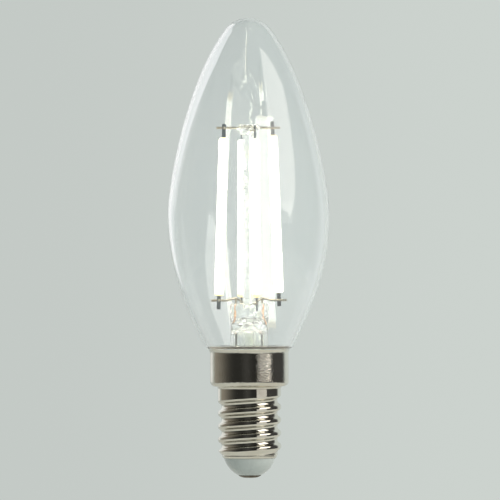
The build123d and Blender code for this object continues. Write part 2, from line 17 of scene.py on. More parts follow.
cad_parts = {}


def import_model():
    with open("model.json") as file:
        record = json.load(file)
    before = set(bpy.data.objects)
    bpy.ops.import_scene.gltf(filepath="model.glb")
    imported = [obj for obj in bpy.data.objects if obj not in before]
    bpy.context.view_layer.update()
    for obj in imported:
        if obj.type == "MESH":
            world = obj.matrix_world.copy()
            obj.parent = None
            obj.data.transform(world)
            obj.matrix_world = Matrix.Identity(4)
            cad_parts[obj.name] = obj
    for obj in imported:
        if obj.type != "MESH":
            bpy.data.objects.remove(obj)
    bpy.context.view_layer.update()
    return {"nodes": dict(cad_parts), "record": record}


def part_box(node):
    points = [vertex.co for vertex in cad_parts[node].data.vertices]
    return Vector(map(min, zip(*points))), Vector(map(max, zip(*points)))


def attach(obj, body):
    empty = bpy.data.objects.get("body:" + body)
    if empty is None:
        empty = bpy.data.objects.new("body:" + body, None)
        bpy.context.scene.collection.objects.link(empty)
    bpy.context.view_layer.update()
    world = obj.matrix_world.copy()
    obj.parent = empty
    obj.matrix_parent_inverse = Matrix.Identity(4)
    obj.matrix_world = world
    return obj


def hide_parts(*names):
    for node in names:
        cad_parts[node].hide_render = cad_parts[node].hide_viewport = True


log = logging.getLogger("candle_bulb")

Colour = tuple[float, float, float]
Span = tuple[float, float]

MM = 0.001
ROOT_BODY = "root"
UP = np.array([0.0, 0.0, 1.0])
BLACK: Colour = (0.0, 0.0, 0.0)
WHITE: Colour = (1.0, 1.0, 1.0)
PATH_LIMITS = {
    "max_bounces": 24,
    "transmission_bounces": 20,
    "glossy_bounces": 10,
    "diffuse_bounces": 3,
    "transparent_max_bounces": 12,
    "sample_clamp_indirect": 6.0,
}


class Slot(str, Enum):
    """The finishes of the bulb, by the names of the record's material slots."""

    CLEAR_GLASS = "clear_glass"
    STEM_GLASS = "stem_glass"
    PLATED_SHELL = "plated_shell"
    INSULATOR = "insulator"
    CONTACT_METAL = "contact_metal"
    SEAL_WIRE = "seal_wire"
    NICKEL_WIRE = "nickel_wire"
    LEAD_WIRE = "lead_wire"
    TINNED_WIRE = "tinned_wire"
    TAB_STEEL = "tab_steel"
    PHOSPHOR = "phosphor"
    CEMENT = "cement"
    BOARD = "board"
    COMPONENT_BLACK = "component_black"
    CAPACITOR_SLEEVE = "capacitor_sleeve"
    FUSE_BODY = "fuse_body"


class SocketKind(str, Enum):
    """What a socket of an effect group carries."""

    NUMBER = "NodeSocketFloat"
    COLOUR = "NodeSocketColor"


class Graph:
    """A node tree that is filled by naming each node's inputs."""

    def __init__(self, tree: bpy.types.NodeTree) -> None:
        """Start from an empty tree."""
        self.tree = tree
        tree.nodes.clear()

    def node(self, kind: str, settings: dict | None = None, **inputs: object) -> bpy.types.Node:
        """Add a node and set or link its inputs.

        Args:
            kind: The node's type name.
            settings: Properties of the node itself.
            inputs: Values or sockets, by input name in small letters with underscores, or by
                position as in_0, in_1.

        Returns:
            The new node.
        """
        made = self.tree.nodes.new(kind)
        for name, value in (settings or {}).items():
            setattr(made, name, value)
        for name, value in inputs.items():
            socket = self._socket(made, name)
            if isinstance(value, bpy.types.NodeSocket):
                self.link(value, socket)
            elif isinstance(value, tuple) and len(value) == 3 and socket.type == "RGBA":
                socket.default_value = (*value, 1.0)
            else:
                socket.default_value = value
        return made

    @staticmethod
    def _socket(made: bpy.types.Node, name: str) -> bpy.types.NodeSocket:
        """Find an input of a node.

        Args:
            made: The node.
            name: The input's name with underscores, or its position as in_0, in_1.

        Returns:
            The first enabled input of that name, or the one at that position.
        """
        if name.startswith("in_"):
            return made.inputs[int(name.removeprefix("in_"))]
        wanted = name.replace("_", " ")
        return next(s for s in made.inputs if s.name.lower() == wanted and s.enabled)

    def link(self, source: bpy.types.NodeSocket, target: bpy.types.NodeSocket) -> None:
        """Join an output to an input."""
        self.tree.links.new(source, target)

    def place(self) -> bpy.types.NodeSocket:
        """Give the point on the surface, in the object's own coordinates."""
        return self.node("ShaderNodeTexCoord").outputs["Object"]

    def level(self) -> bpy.types.NodeSocket:
        """Give the height of the point on the surface above the centre contact."""
        return self.node("ShaderNodeSeparateXYZ", vector=self.place()).outputs["Z"]

    def noise(
        self, place: bpy.types.NodeSocket, scale: object, detail: float, roughness: float = 0.5
    ) -> bpy.types.NodeSocket:
        """Give soft noise from 0 to 1.

        Args:
            place: Where it is taken.
            scale: How fine it is, in waves to a metre.
            detail: How many finer layers it has.
            roughness: How strong each finer layer is against the one before.

        Returns:
            The noise.
        """
        made = self.node(
            "ShaderNodeTexNoise", vector=place, scale=scale, detail=detail, roughness=roughness
        )
        return made.outputs["Fac"]

    def mix_colours(self, share: object, first: object, second: object) -> bpy.types.NodeSocket:
        """Blend two colours by a share from 0 to 1."""
        made = self.node("ShaderNodeMix", {"data_type": "RGBA"}, in_0=share, in_6=first, in_7=second)
        return made.outputs[2]

    def math(self, operation: str, *values: object) -> bpy.types.NodeSocket:
        """Work out one number from others."""
        inputs = {f"in_{place}": value for place, value in enumerate(values)}
        return self.node("ShaderNodeMath", {"operation": operation}, **inputs).outputs[0]

    def ramp(
        self, value: object, span: tuple[object, object], result: tuple[object, object] = (0.0, 1.0)
    ) -> bpy.types.NodeSocket:
        """Carry a value smoothly from one range to another.

        Args:
            value: The value or socket to carry.
            span: The ends of its range.
            result: What comes out at these ends.

        Returns:
            The carried value.
        """
        made = self.node(
            "ShaderNodeMapRange",
            {"interpolation_type": "SMOOTHSTEP"},
            value=value,
            from_min=span[0],
            from_max=span[1],
            to_min=result[0],
            to_max=result[1],
        )
        return made.outputs[0]


@dataclass(frozen=True)
class EffectGroup:
    """A surface effect that several finishes share, as one shader node group."""

    name: str
    inputs: dict[str, SocketKind]
    outputs: dict[str, SocketKind]

    def start(self) -> tuple[Graph, bpy.types.Node, bpy.types.Node]:
        """Make the group with its sockets.

        Returns:
            The group's graph, its input node and its output node.
        """
        tree = bpy.data.node_groups.new(self.name, "ShaderNodeTree")
        for direction, sockets in (("INPUT", self.inputs), ("OUTPUT", self.outputs)):
            for name, kind in sockets.items():
                tree.interface.new_socket(name, in_out=direction, socket_type=kind.value)
        graph = Graph(tree)
        return graph, graph.node("NodeGroupInput"), graph.node("NodeGroupOutput")


class Effects:
    """The shared surface effects, each built once."""

    PATCH_SPAN: Span = (0.35, 0.7)
    PATCH_DETAIL: float = 4.0
    PATCH_ROUGHNESS: float = 0.55
    GRAIN_DETAIL: float = 0.0
    MARK_DETAIL: float = 3.0

    def __init__(self) -> None:
        """Build every group."""
        self.clouding = self._clouding()
        self.grain = self._grain()
        self.drawing = self._drawing()

    def _clouding(self) -> bpy.types.NodeTree:
        """Make slow patches: soft noise blends a clean colour and a stained one, and a roughness.

        Returns:
            The group, which takes the patches' scale, both colours and both roughnesses.
        """
        group = EffectGroup(
            "clouding",
            inputs={
                "Scale": SocketKind.NUMBER,
                "Clean": SocketKind.COLOUR,
                "Stained": SocketKind.COLOUR,
                "Low": SocketKind.NUMBER,
                "High": SocketKind.NUMBER,
            },
            outputs={"Colour": SocketKind.COLOUR, "Roughness": SocketKind.NUMBER},
        )
        graph, given, result = group.start()
        noise = graph.noise(
            graph.place(), given.outputs["Scale"], self.PATCH_DETAIL, self.PATCH_ROUGHNESS
        )
        patch = graph.ramp(noise, self.PATCH_SPAN)
        colour = graph.mix_colours(patch, given.outputs["Clean"], given.outputs["Stained"])
        rough = graph.ramp(patch, (0.0, 1.0), (given.outputs["Low"], given.outputs["High"]))
        graph.link(colour, result.inputs["Colour"])
        graph.link(rough, result.inputs["Roughness"])
        return graph.tree

    def _grain(self) -> bpy.types.NodeTree:
        """Make a fine even grain: noise at a small scale, as a height.

        Returns:
            The group, which takes the grain's scale and depth.
        """
        group = EffectGroup(
            "fine_grain",
            inputs={"Scale": SocketKind.NUMBER, "Depth": SocketKind.NUMBER},
            outputs={"Height": SocketKind.NUMBER},
        )
        graph, given, result = group.start()
        noise = graph.noise(graph.place(), given.outputs["Scale"], self.GRAIN_DETAIL)
        height = graph.math("MULTIPLY", noise, given.outputs["Depth"])
        graph.link(height, result.inputs["Height"])
        return graph.tree

    def _drawing(self) -> bpy.types.NodeTree:
        """Make drawing marks: noise squeezed along Z, so that its streaks run round the axis.

        Returns:
            The group, which takes the marks' scale and how far they are squeezed.
        """
        group = EffectGroup(
            "drawing_marks",
            inputs={"Scale": SocketKind.NUMBER, "Squeeze": SocketKind.NUMBER},
            outputs={"Height": SocketKind.NUMBER},
        )
        graph, given, result = group.start()
        squeeze = graph.node("ShaderNodeCombineXYZ", x=1.0, y=1.0, z=given.outputs["Squeeze"])
        squeezed = graph.node(
            "ShaderNodeVectorMath",
            {"operation": "MULTIPLY"},
            in_0=graph.place(),
            in_1=squeeze.outputs[0],
        )
        noise = graph.noise(squeezed.outputs[0], given.outputs["Scale"], self.MARK_DETAIL)
        graph.link(noise, result.inputs["Height"])
        return graph.tree


@dataclass(frozen=True)
class Finish:
    """What every finish has: a patchy colour, a roughness that follows it and a fine grain.

    The grain starts at the level grain_from and is full a grain_blend above it.
    """

    slot: Slot
    clean: Colour
    stained: Colour
    patch_scale: float
    roughness: Span
    grain_scale: float
    bump_distance: float
    grain_from: float = -1.0
    grain_blend: float = 0.6 * MM

    def build(self, effects: Effects) -> bpy.types.Material:
        """Make the material of this finish.

        Args:
            effects: The shared effect groups.

        Returns:
            The finished material.
        """
        material = bpy.data.materials.new(self.slot.value)
        material.use_nodes = True
        graph = Graph(material.node_tree)
        clouding = graph.node(
            "ShaderNodeGroup",
            {"node_tree": effects.clouding},
            scale=self.patch_scale,
            clean=self.clean,
            stained=self.stained,
            low=self.roughness[0],
            high=self.roughness[1],
        )
        bump = graph.node(
            "ShaderNodeBump", distance=self.bump_distance, height=self.height(graph, effects)
        )
        shader = graph.node(
            "ShaderNodeBsdfPrincipled",
            base_color=clouding.outputs["Colour"],
            roughness=clouding.outputs["Roughness"],
            normal=bump.outputs[0],
        )
        self.set_shader(graph, shader)
        graph.node("ShaderNodeOutputMaterial", surface=self.surface(graph, shader))
        return material

    def height(self, graph: Graph, effects: Effects) -> bpy.types.NodeSocket:
        """Give the height that the bump follows: a fine grain above the level where it starts.

        Args:
            graph: The material's graph.
            effects: The shared effect groups.

        Returns:
            The height.
        """
        depth = graph.ramp(graph.level(), (self.grain_from, self.grain_from + self.grain_blend))
        grain = graph.node(
            "ShaderNodeGroup", {"node_tree": effects.grain}, scale=self.grain_scale, depth=depth
        )
        return grain.outputs["Height"]

    def set_shader(self, graph: Graph, shader: bpy.types.Node) -> None:
        """Set the shader's other sockets; a plain finish has none to set."""

    def surface(self, graph: Graph, shader: bpy.types.Node) -> bpy.types.NodeSocket:
        """Give the socket that the surface shows: the shader itself."""
        return shader.outputs[0]


@dataclass(frozen=True)
class MetalFinish(Finish):
    """A bare or plated metal with drawing marks round its axis."""

    mark_scale: float = 900.0
    mark_squeeze: float = 9.0
    mark_depth: float = 0.25

    def height(self, graph: Graph, effects: Effects) -> bpy.types.NodeSocket:
        """Give the height that the bump follows: a fine grain on drawing marks.

        Args:
            graph: The material's graph.
            effects: The shared effect groups.

        Returns:
            The height.
        """
        marks = graph.node(
            "ShaderNodeGroup",
            {"node_tree": effects.drawing},
            scale=self.mark_scale,
            squeeze=self.mark_squeeze,
        )
        faint = graph.math("MULTIPLY", marks.outputs["Height"], self.mark_depth)
        return graph.math("ADD", super().height(graph, effects), faint)

    def set_shader(self, graph: Graph, shader: bpy.types.Node) -> None:
        """Make the shader a metal."""
        shader.inputs["Metallic"].default_value = 1.0


@dataclass(frozen=True)
class WireFinish(MetalFinish):
    """A drawn wire or a stamped strip."""

    patch_scale: float = 900.0
    roughness: Span = (0.25, 0.4)
    grain_scale: float = 3000.0
    bump_distance: float = 0.02 * MM


@dataclass(frozen=True)
class GlassFinish(Finish):
    """A clear glass with a slight haze that catches the light of the filaments."""

    ior: float = 1.5
    clearness: float = 0.98

    def set_shader(self, graph: Graph, shader: bpy.types.Node) -> None:
        """Make the shader a clear glass."""
        shader.inputs["IOR"].default_value = self.ior
        shader.inputs["Transmission Weight"].default_value = self.clearness

    def surface(self, graph: Graph, shader: bpy.types.Node) -> bpy.types.NodeSocket:
        """Let the light of lamps and filaments through, so that it reaches what is behind the glass.

        Args:
            graph: The material's graph.
            shader: The glass.

        Returns:
            The glass, which casts no shadow.
        """
        path = graph.node("ShaderNodeLightPath")
        clear = graph.node("ShaderNodeBsdfTransparent")
        lit = graph.node(
            "ShaderNodeMixShader",
            in_0=path.outputs["Is Shadow Ray"],
            in_1=shader.outputs[0],
            in_2=clear.outputs[0],
        )
        return lit.outputs[0]


@dataclass(frozen=True)
class WorkedGlassFinish(GlassFinish):
    """A glass with an uneven skin and a painted glow near the filaments, for their scattered light."""

    painted_glow_strength: float = 0.13
    painted_glow_colour: Colour = (1.0, 1.0, 0.97)
    painted_glow_rise: Span = (29.5 * MM, 34.0 * MM)
    painted_glow_rest: float = 0.05
    spot_scale: float = 1500.0
    spot_detail: float = 2.0
    spot_span: Span = (0.4, 0.6)
    spot_rest: float = 0.1

    def set_shader(self, graph: Graph, shader: bpy.types.Node) -> None:
        """Make the shader a glass with a painted glow in small spots, more so near the filaments.

        Args:
            graph: The material's graph.
            shader: The glass.
        """
        super().set_shader(graph, shader)
        # Painted glow: emission in small spots, rising towards the filaments, stands in for their
        # light scattered in the glass.
        near = graph.ramp(graph.level(), self.painted_glow_rise, (self.painted_glow_rest, 1.0))
        noise = graph.noise(graph.place(), self.spot_scale, self.spot_detail)
        spots = graph.ramp(noise, self.spot_span, (self.spot_rest, 1.0))
        share = graph.math("MULTIPLY", near, spots)
        colour = graph.mix_colours(share, BLACK, self.painted_glow_colour)
        graph.link(colour, shader.inputs["Emission Color"])
        shader.inputs["Emission Strength"].default_value = self.painted_glow_strength


@dataclass(frozen=True)
class GlossFinish(Finish):
    """A moulded or coated piece with a glossy skin."""

    coat: float = 0.4
    coat_roughness: float = 0.08

    def set_shader(self, graph: Graph, shader: bpy.types.Node) -> None:
        """Add the glossy skin."""
        shader.inputs["Coat Weight"].default_value = self.coat
        shader.inputs["Coat Roughness"].default_value = self.coat_roughness


@dataclass(frozen=True)
class GlowFinish(Finish):
    """A phosphor skin over a row of lit chips, dimmer and yellower at its two ends."""

    glow: Colour = (1.0, 0.99, 0.9)
    end_glow: Colour = (1.0, 0.86, 0.5)
    unlit: Colour = (0.2, 0.15, 0.07)
    strength: float = 6.4
    bottom: float = 39.5 * MM
    top: float = 73.8 * MM
    end_length: float = 1.2 * MM
    chip_pitch: float = 1.2 * MM
    chip_depth: float = 0.15

    def set_shader(self, graph: Graph, shader: bpy.types.Node) -> None:
        """Light the skin: a wave along Z dims it between chips, and a ramp at each end yellows it.

        Args:
            graph: The material's graph.
            shader: The skin.
        """
        level = graph.level()
        rise = graph.ramp(level, (self.bottom, self.bottom + self.end_length))
        fall = graph.ramp(level, (self.top - self.end_length, self.top), (1.0, 0.0))
        lit = graph.math("MULTIPLY", rise, fall)
        wave = graph.math("SINE", graph.math("MULTIPLY", level, 2 * pi / self.chip_pitch))
        chips = graph.ramp(wave, (-1.0, 1.0), (1.0 - self.chip_depth, 1.0))
        colour = graph.mix_colours(lit, self.end_glow, self.glow)
        dimmed = graph.mix_colours(graph.math("MULTIPLY", lit, chips), self.unlit, colour)
        graph.link(dimmed, shader.inputs["Emission Color"])
        shader.inputs["Emission Strength"].default_value = self.strength


FINISHES: tuple[Finish, ...] = (
    GlassFinish(
        Slot.CLEAR_GLASS,
        clean=(0.975, 0.99, 1.0),
        stained=(0.965, 0.985, 0.995),
        patch_scale=40,
        roughness=(0.0, 0.004),
        grain_scale=90,
        bump_distance=0.004 * MM,
    ),
    # The stem glass has a painted glow: emission in small spots near the filaments.
    WorkedGlassFinish(
        Slot.STEM_GLASS,
        clean=(0.98, 0.995, 0.985),
        stained=(0.935, 0.95, 0.885),
        patch_scale=420,
        roughness=(0.0, 0.02),
        grain_scale=900,
        bump_distance=0.35 * MM,
        grain_from=31.0 * MM,
        clearness=0.94,
    ),
    MetalFinish(
        Slot.PLATED_SHELL,
        clean=(0.74, 0.73, 0.665),
        stained=(0.66, 0.635, 0.56),
        patch_scale=160,
        roughness=(0.05, 0.1),
        grain_scale=4500,
        bump_distance=0.025 * MM,
        grain_from=19.6 * MM,
        mark_depth=0.02,
    ),
    GlossFinish(
        Slot.INSULATOR,
        clean=(0.64, 0.7, 0.675),
        stained=(0.59, 0.645, 0.62),
        patch_scale=220,
        roughness=(0.22, 0.34),
        grain_scale=1500,
        bump_distance=0.02 * MM,
    ),
    MetalFinish(
        Slot.CONTACT_METAL,
        clean=(0.13, 0.11, 0.08),
        stained=(0.08, 0.06, 0.035),
        patch_scale=700,
        roughness=(0.3, 0.5),
        grain_scale=2600,
        bump_distance=0.05 * MM,
    ),
    WireFinish(Slot.SEAL_WIRE, clean=(0.95, 0.55, 0.3), stained=(0.85, 0.42, 0.2)),
    WireFinish(Slot.NICKEL_WIRE, clean=(0.5, 0.47, 0.4), stained=(0.38, 0.34, 0.27)),
    WireFinish(
        Slot.LEAD_WIRE,
        clean=(0.2, 0.19, 0.17),
        stained=(0.13, 0.12, 0.1),
        patch_scale=800,
        roughness=(0.35, 0.5),
    ),
    WireFinish(
        Slot.TINNED_WIRE, clean=(0.7, 0.7, 0.69), stained=(0.58, 0.57, 0.55), patch_scale=800
    ),
    WireFinish(
        Slot.TAB_STEEL,
        clean=(0.13, 0.15, 0.16),
        stained=(0.1, 0.11, 0.12),
        roughness=(0.35, 0.5),
    ),
    GlowFinish(
        Slot.PHOSPHOR,
        clean=(0.98, 0.86, 0.45),
        stained=(0.95, 0.8, 0.36),
        patch_scale=700,
        roughness=(0.5, 0.65),
        grain_scale=2500,
        bump_distance=0.03 * MM,
    ),
    Finish(
        Slot.CEMENT,
        clean=(0.72, 0.68, 0.6),
        stained=(0.56, 0.52, 0.44),
        patch_scale=500,
        roughness=(0.8, 0.95),
        grain_scale=2500,
        bump_distance=0.1 * MM,
    ),
    Finish(
        Slot.BOARD,
        clean=(0.1, 0.28, 0.14),
        stained=(0.07, 0.21, 0.1),
        patch_scale=400,
        roughness=(0.4, 0.55),
        grain_scale=2800,
        bump_distance=0.04 * MM,
    ),
    Finish(
        Slot.COMPONENT_BLACK,
        clean=(0.035, 0.035, 0.04),
        stained=(0.055, 0.055, 0.06),
        patch_scale=600,
        roughness=(0.45, 0.6),
        grain_scale=3500,
        bump_distance=0.03 * MM,
    ),
    GlossFinish(
        Slot.CAPACITOR_SLEEVE,
        clean=(0.05, 0.06, 0.14),
        stained=(0.035, 0.04, 0.1),
        patch_scale=400,
        roughness=(0.25, 0.4),
        grain_scale=1200,
        bump_distance=0.02 * MM,
    ),
    GlossFinish(
        Slot.FUSE_BODY,
        clean=(0.3, 0.46, 0.5),
        stained=(0.24, 0.38, 0.42),
        patch_scale=500,
        roughness=(0.35, 0.5),
        grain_scale=1800,
        bump_distance=0.03 * MM,
    ),
)


def arc(centre: Span, radius: float, start: float, end: float, count: int) -> np.ndarray:
    """Place points on an arc: the centre plus the radius turned from one angle to another.

    Args:
        centre: Radius and height of the arc's centre.
        radius: The arc's radius.
        start: First angle in degrees, from the outward direction.
        end: Last angle in degrees.
        count: Number of points.

    Returns:
        Points as rows of radius and height.
    """
    turn = np.radians(np.linspace(start, end, count))
    return np.array(centre) + radius * np.stack([np.cos(turn), np.sin(turn)], axis=1)


def bezier(points: np.ndarray, count: int, fineness: int = 40) -> tuple[np.ndarray, np.ndarray]:
    """Sample a cubic curve at even steps of its length.

    A point is the four control points weighted by (1-t)^3, 3t(1-t)^2, 3t^2(1-t) and t^3, and the
    direction is that of the derivative, the three legs between them weighted by (1-t)^2, 2t(1-t)
    and t^2.

    Args:
        points: Four control points.
        count: Number of samples.
        fineness: Number of steps of t to a sample, by which the length is measured.

    Returns:
        The points and their unit directions.
    """
    t = np.linspace(0.0, 1.0, fineness * count)[:, None]
    back = 1.0 - t
    curve = np.hstack([back**3, 3 * t * back**2, 3 * t**2 * back, t**3]) @ points
    slope = np.hstack([back**2, 2 * t * back, t**2]) @ np.diff(points, axis=0)
    length = np.concatenate([[0.0], np.cumsum(np.linalg.norm(np.diff(curve, axis=0), axis=1))])
    steps = np.linspace(0.0, length[-1], count)
    place = np.stack([np.interp(steps, length, curve[:, axis]) for axis in (0, 1)], axis=1)
    heading = np.stack([np.interp(steps, length, slope[:, axis]) for axis in (0, 1)], axis=1)
    return place, heading / np.linalg.norm(heading, axis=1, keepdims=True)


def join_rings(rings: int, segments: int) -> tuple[np.ndarray, np.ndarray, np.ndarray]:
    """Number the points of rings and join each ring to the next.

    Point j of ring i has the number i times the segments plus j. A face goes from it to the same
    point of the next ring, to the point beside that one and back.

    Args:
        rings: Number of rings.
        segments: Number of points in a ring.

    Returns:
        The numbers by ring, the numbers of the points beside them and the faces.
    """
    index = np.arange(rings * segments).reshape(rings, segments)
    beside = np.roll(index, -1, axis=1)
    faces = np.stack([index[:-1], index[1:], beside[1:], beside[:-1]], axis=2).reshape(-1, 4)
    return index, beside, faces


def make_piece(name: str, vertices: np.ndarray, faces: list[list[int]]) -> bpy.types.Object:
    """Put a mesh into the scene, shaded smooth.

    Args:
        name: The piece's name.
        vertices: Its points.
        faces: Its faces, by the numbers of their points.

    Returns:
        The new object, at the origin.
    """
    mesh = bpy.data.meshes.new(name)
    mesh.from_pydata(vertices.tolist(), [], faces)
    mesh.shade_smooth()
    piece = bpy.data.objects.new(name, mesh)
    bpy.context.scene.collection.objects.link(piece)
    return piece


def revolve(name: str, profile: np.ndarray, segments: int) -> bpy.types.Object:
    """Turn a profile that starts and ends on the axis into a closed surface.

    Each inner point (r, z) becomes a ring (r cos a, r sin a, z) over even angles a, and the two
    end points close the poles with fans.

    Args:
        name: The piece's name.
        profile: Rows of radius and height, the outside first, from pole to pole.
        segments: Number of steps round the axis.

    Returns:
        The new object.
    """
    turn = np.linspace(0.0, 2 * pi, segments, endpoint=False)
    rings = profile[1:-1]
    radius = rings[:, 0][:, None]
    height = np.broadcast_to(rings[:, 1][:, None], (len(rings), segments))
    grid = np.stack([radius * np.cos(turn), radius * np.sin(turn), height], axis=2).reshape(-1, 3)
    poles = profile[[0, -1], 1][:, None] * UP

    index, beside, quads = join_rings(len(rings), segments)
    first_pole = np.full(segments, len(grid))
    last_pole = np.full(segments, len(grid) + 1)
    first_fan = np.stack([first_pole, index[0], beside[0]], axis=1)
    last_fan = np.stack([last_pole, beside[-1], index[-1]], axis=1)
    faces = quads.tolist() + first_fan.tolist() + last_fan.tolist()
    return make_piece(name, np.concatenate([grid, poles]), faces)


@dataclass
class GlassEnvelope:
    """The blown glass: a candle-shaped wall with a neck that goes down into the cap."""

    diameter: float = 35.0 * MM
    wall: float = 0.7 * MM
    belly_reach_up: float = 6.6 * MM
    belly_reach_down: float = 12.1 * MM
    belly_above_rim: float = 29.25 * MM
    nose_radius: float = 6.0 * MM
    nose_angle: float = 37.5
    nose_reach: float = 13.9 * MM
    foot_slope: float = 26.3
    foot_reach: float = 9.5 * MM
    foot_radius: float = 1.0 * MM
    foot_centre_radius: float = 8.7 * MM
    rest_above_rim: float = 0.1 * MM
    neck_radius: float = 7.4 * MM
    neck_fillet: float = 0.6 * MM
    curve_points: int = 124
    arc_points: int = 16
    segments: int = 156
    node: str = "glass_envelope"

    def profile(self) -> np.ndarray:
        """Work out the outline: the outer wall down from the tip, then the inner wall back up.

        The outer wall is a nose arc, two cubic curves that meet upright at the belly, a foot arc
        and a fillet into the neck. The inner wall is the same curves and arcs set in by the wall.

        Returns:
            Rows of radius and height, from the tip to the inside of the tip.
        """
        low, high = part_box(self.node)
        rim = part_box("cap_shell")[1].z
        rest = rim + self.rest_above_rim
        belly = np.array([self.diameter / 2, rim + self.belly_above_rim])
        nose = radians(self.nose_angle)
        foot = radians(self.foot_slope)
        nose_centre = (0.0, high.z - self.nose_radius)
        nose_end = np.array(nose_centre) + self.nose_radius * np.array([cos(nose), sin(nose)])
        foot_centre = (self.foot_centre_radius, rest + self.foot_radius)
        foot_end = np.array(foot_centre) + self.foot_radius * np.array([cos(foot), -sin(foot)])
        fillet_centre = (self.neck_radius + self.neck_fillet, rest - self.neck_fillet)
        flank, flank_heading = bezier(
            np.array([
                nose_end,
                nose_end + self.nose_reach * np.array([sin(nose), -cos(nose)]),
                belly + np.array([0.0, self.belly_reach_up]),
                belly,
            ]),
            self.curve_points,
        )
        lower, lower_heading = bezier(
            np.array([
                belly,
                belly - np.array([0.0, self.belly_reach_down]),
                foot_end + self.foot_reach * np.array([sin(foot), cos(foot)]),
                foot_end,
            ]),
            self.curve_points,
        )
        outer = [
            arc(nose_centre, self.nose_radius, 90.0, self.nose_angle, self.arc_points),
            flank[1:],
            lower[1:],
            arc(foot_centre, self.foot_radius, -self.foot_slope, -90.0, self.arc_points)[1:],
            arc(fillet_centre, self.neck_fillet, 90.0, 180.0, self.arc_points),
            np.array([[self.neck_radius, low.z], [self.neck_radius - self.wall, low.z]]),
        ]
        inner = [
            arc(fillet_centre, self.neck_fillet + self.wall, 180.0, 90.0, self.arc_points),
            arc(foot_centre, self.foot_radius - self.wall, -90.0, -self.foot_slope, self.arc_points),
            self.set_in(lower, lower_heading)[::-1][1:],
            self.set_in(flank, flank_heading)[::-1][1:],
            arc(nose_centre, self.nose_radius - self.wall, self.nose_angle, 90.0, self.arc_points)[1:],
        ]
        return np.concatenate(outer + inner)

    def set_in(self, points: np.ndarray, headings: np.ndarray) -> np.ndarray:
        """Move points one wall inward, square to their heading down the outside."""
        return points + self.wall * np.stack([headings[:, 1], -headings[:, 0]], axis=1)

    def build(self, material: bpy.types.Material) -> bpy.types.Object:
        """Make the glass, dress it and let it stand for its node.

        Args:
            material: The finish of the glass.

        Returns:
            The finished piece.
        """
        piece = revolve("blown_glass", self.profile(), self.segments)
        piece.data.materials.append(material)
        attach(piece, ROOT_BODY)
        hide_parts(self.node)
        return piece


@dataclass
class WeldBeads:
    """The spot welds on the outer faces of the tabs, where these cross their wires."""

    radius: float = 0.33 * MM
    rise: float = 0.12 * MM
    tab_thickness: float = 0.25 * MM
    wire_radius: float = 0.25 * MM
    top_circle: float = 5.4 * MM
    bottom_circle: float = 6.7 * MM
    turn: float = 11.0
    filaments: int = 4
    rings: int = 6
    segments: int = 20

    @staticmethod
    def middle(low: Vector, high: Vector) -> float:
        """Give the height halfway up a box from its two corners."""
        return (low.z + high.z) / 2

    def places(self) -> list[tuple[np.ndarray, np.ndarray]]:
        """Find each bead's centre and the direction that its tab faces.

        A tab lies beside its wire, a wire's radius and its own thickness away, a quarter turn on
        from the direction to its filament. The beads of every second filament are lower, by the
        step between the two top wires.

        Returns:
            Pairs of centre and facing, two for each filament.
        """
        upper = self.middle(*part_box("top_wire_upper"))
        step = upper - self.middle(*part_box("top_wire_lower"))
        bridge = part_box("bridge_wire_left")[0].z + self.wire_radius + step
        beside = self.wire_radius + self.tab_thickness
        found = []
        for count in range(self.filaments):
            angle = radians(self.turn) + 2 * pi * count / self.filaments
            outward = np.array([cos(angle), sin(angle), 0.0])
            facing = np.array([-sin(angle), cos(angle), 0.0])
            for reach, level in ((self.top_circle, upper), (self.bottom_circle, bridge)):
                height = (level - step * (count % 2)) * UP
                found.append((outward * reach + facing * beside + height, facing))
        return found

    def build(self, material: bpy.types.Material) -> bpy.types.Object:
        """Make all beads as one piece: flat half ellipsoids on the tabs.

        A point at the angles a round the bead and b up it is the centre plus the radius times cos b,
        turned by a in the tab's face, plus the rise times sin b along the facing.

        Args:
            material: The finish of the beads.

        Returns:
            The finished piece.
        """
        around = np.linspace(0.0, 2 * pi, self.segments, endpoint=False)[None, :, None]
        climb = np.linspace(0.0, pi / 2, self.rings, endpoint=False)[:, None, None]
        index, beside, quads = join_rings(self.rings, self.segments)
        outward_quads = np.roll(quads[:, ::-1], 1, axis=1)
        tip = np.full(self.segments, self.rings * self.segments)
        fan = np.stack([index[-1], beside[-1], tip], axis=1)
        vertices, faces = [], []
        for centre, facing in self.places():
            ring = np.cross(UP, facing) * np.cos(around) + UP * np.sin(around)
            dome = centre + self.radius * np.cos(climb) * ring + self.rise * np.sin(climb) * facing
            start = len(vertices) * (self.rings * self.segments + 1)
            vertices.append(np.concatenate([dome.reshape(-1, 3), [centre + self.rise * facing]]))
            faces += (outward_quads + start).tolist() + (fan + start).tolist()
        piece = make_piece("weld_beads", np.concatenate(vertices), faces)
        piece.data.materials.append(material)
        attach(piece, ROOT_BODY)
        return piece


@dataclass(frozen=True)
class StudioLight:
    """A soft flat lamp that faces the bulb from a bearing: 0 is the camera's, plus is to its right."""

    name: str
    bearing: float
    elevation: float
    width: float
    height: float
    radiance: float
    colour: Colour = WHITE
    turn: float = 0.0
    distance: float = 0.6
    aim_level: float = 49.0 * MM

    def build(self) -> bpy.types.Object:
        """Make the lamp, aim it at the bulb and turn it in its own plane.

        Its power is its radiance times pi times its area.

        Returns:
            The lamp.
        """
        target = Vector((0.0, 0.0, self.aim_level))
        side, rise = radians(self.bearing), radians(self.elevation)
        away = Vector((sin(side) * cos(rise), -cos(side) * cos(rise), sin(rise)))
        data = bpy.data.lights.new(self.name, "AREA")
        data.shape = "RECTANGLE"
        data.size = self.width
        data.size_y = self.height
        data.energy = self.radiance * pi * self.width * self.height
        data.color = self.colour
        lamp = bpy.data.objects.new(self.name, data)
        lamp.location = target + away * self.distance
        facing = (-away).to_track_quat("-Z", "Y")
        lamp.rotation_euler = (facing @ Quaternion((0.0, 0.0, 1.0), radians(-self.turn))).to_euler()
        lamp.visible_camera = False
        bpy.context.scene.collection.objects.link(lamp)
        return lamp


